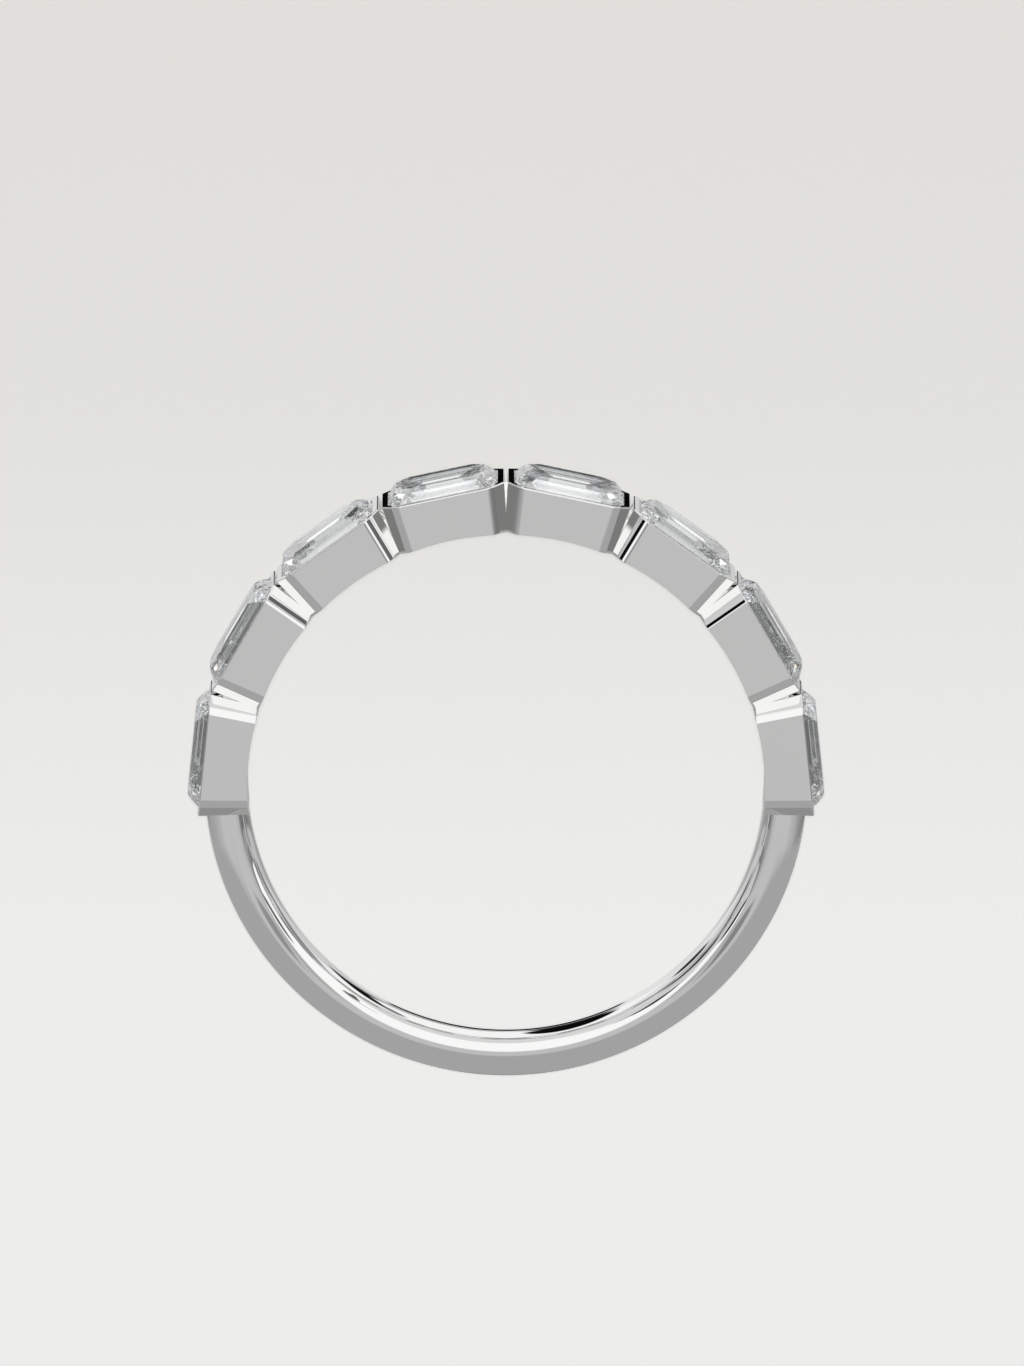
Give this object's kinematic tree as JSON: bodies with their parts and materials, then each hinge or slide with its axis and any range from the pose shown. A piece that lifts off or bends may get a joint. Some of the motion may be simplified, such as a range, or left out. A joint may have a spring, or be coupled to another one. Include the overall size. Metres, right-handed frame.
{
  "type": "east-west bezel band ring",
  "caption": "Finger ring with step-cut clear stones set lengthwise in tall cut-corner bezels over the top half and a plain rounded shank below.",
  "frame": {"origin": "middle of the finger hole, on its axis, halfway along the bezels' width", "axes": "+Z along the finger axis, which is up as the ring lies on its side; +Y towards the middle of the row of stones; +X to the side"},
  "size_m": [0.0204, 0.0197, 0.003],
  "materials": {
    "white_metal": "polished",
    "stone": "polished"
  },
  "bodies": {
    "root": {"band": "white_metal", "stone_1": "stone", "stone_2": "stone", "stone_3": "stone", "stone_4": "stone", "stone_5": "stone", "stone_6": "stone", "stone_7": "stone", "stone_8": "stone"}
  },
  "joints": []
}
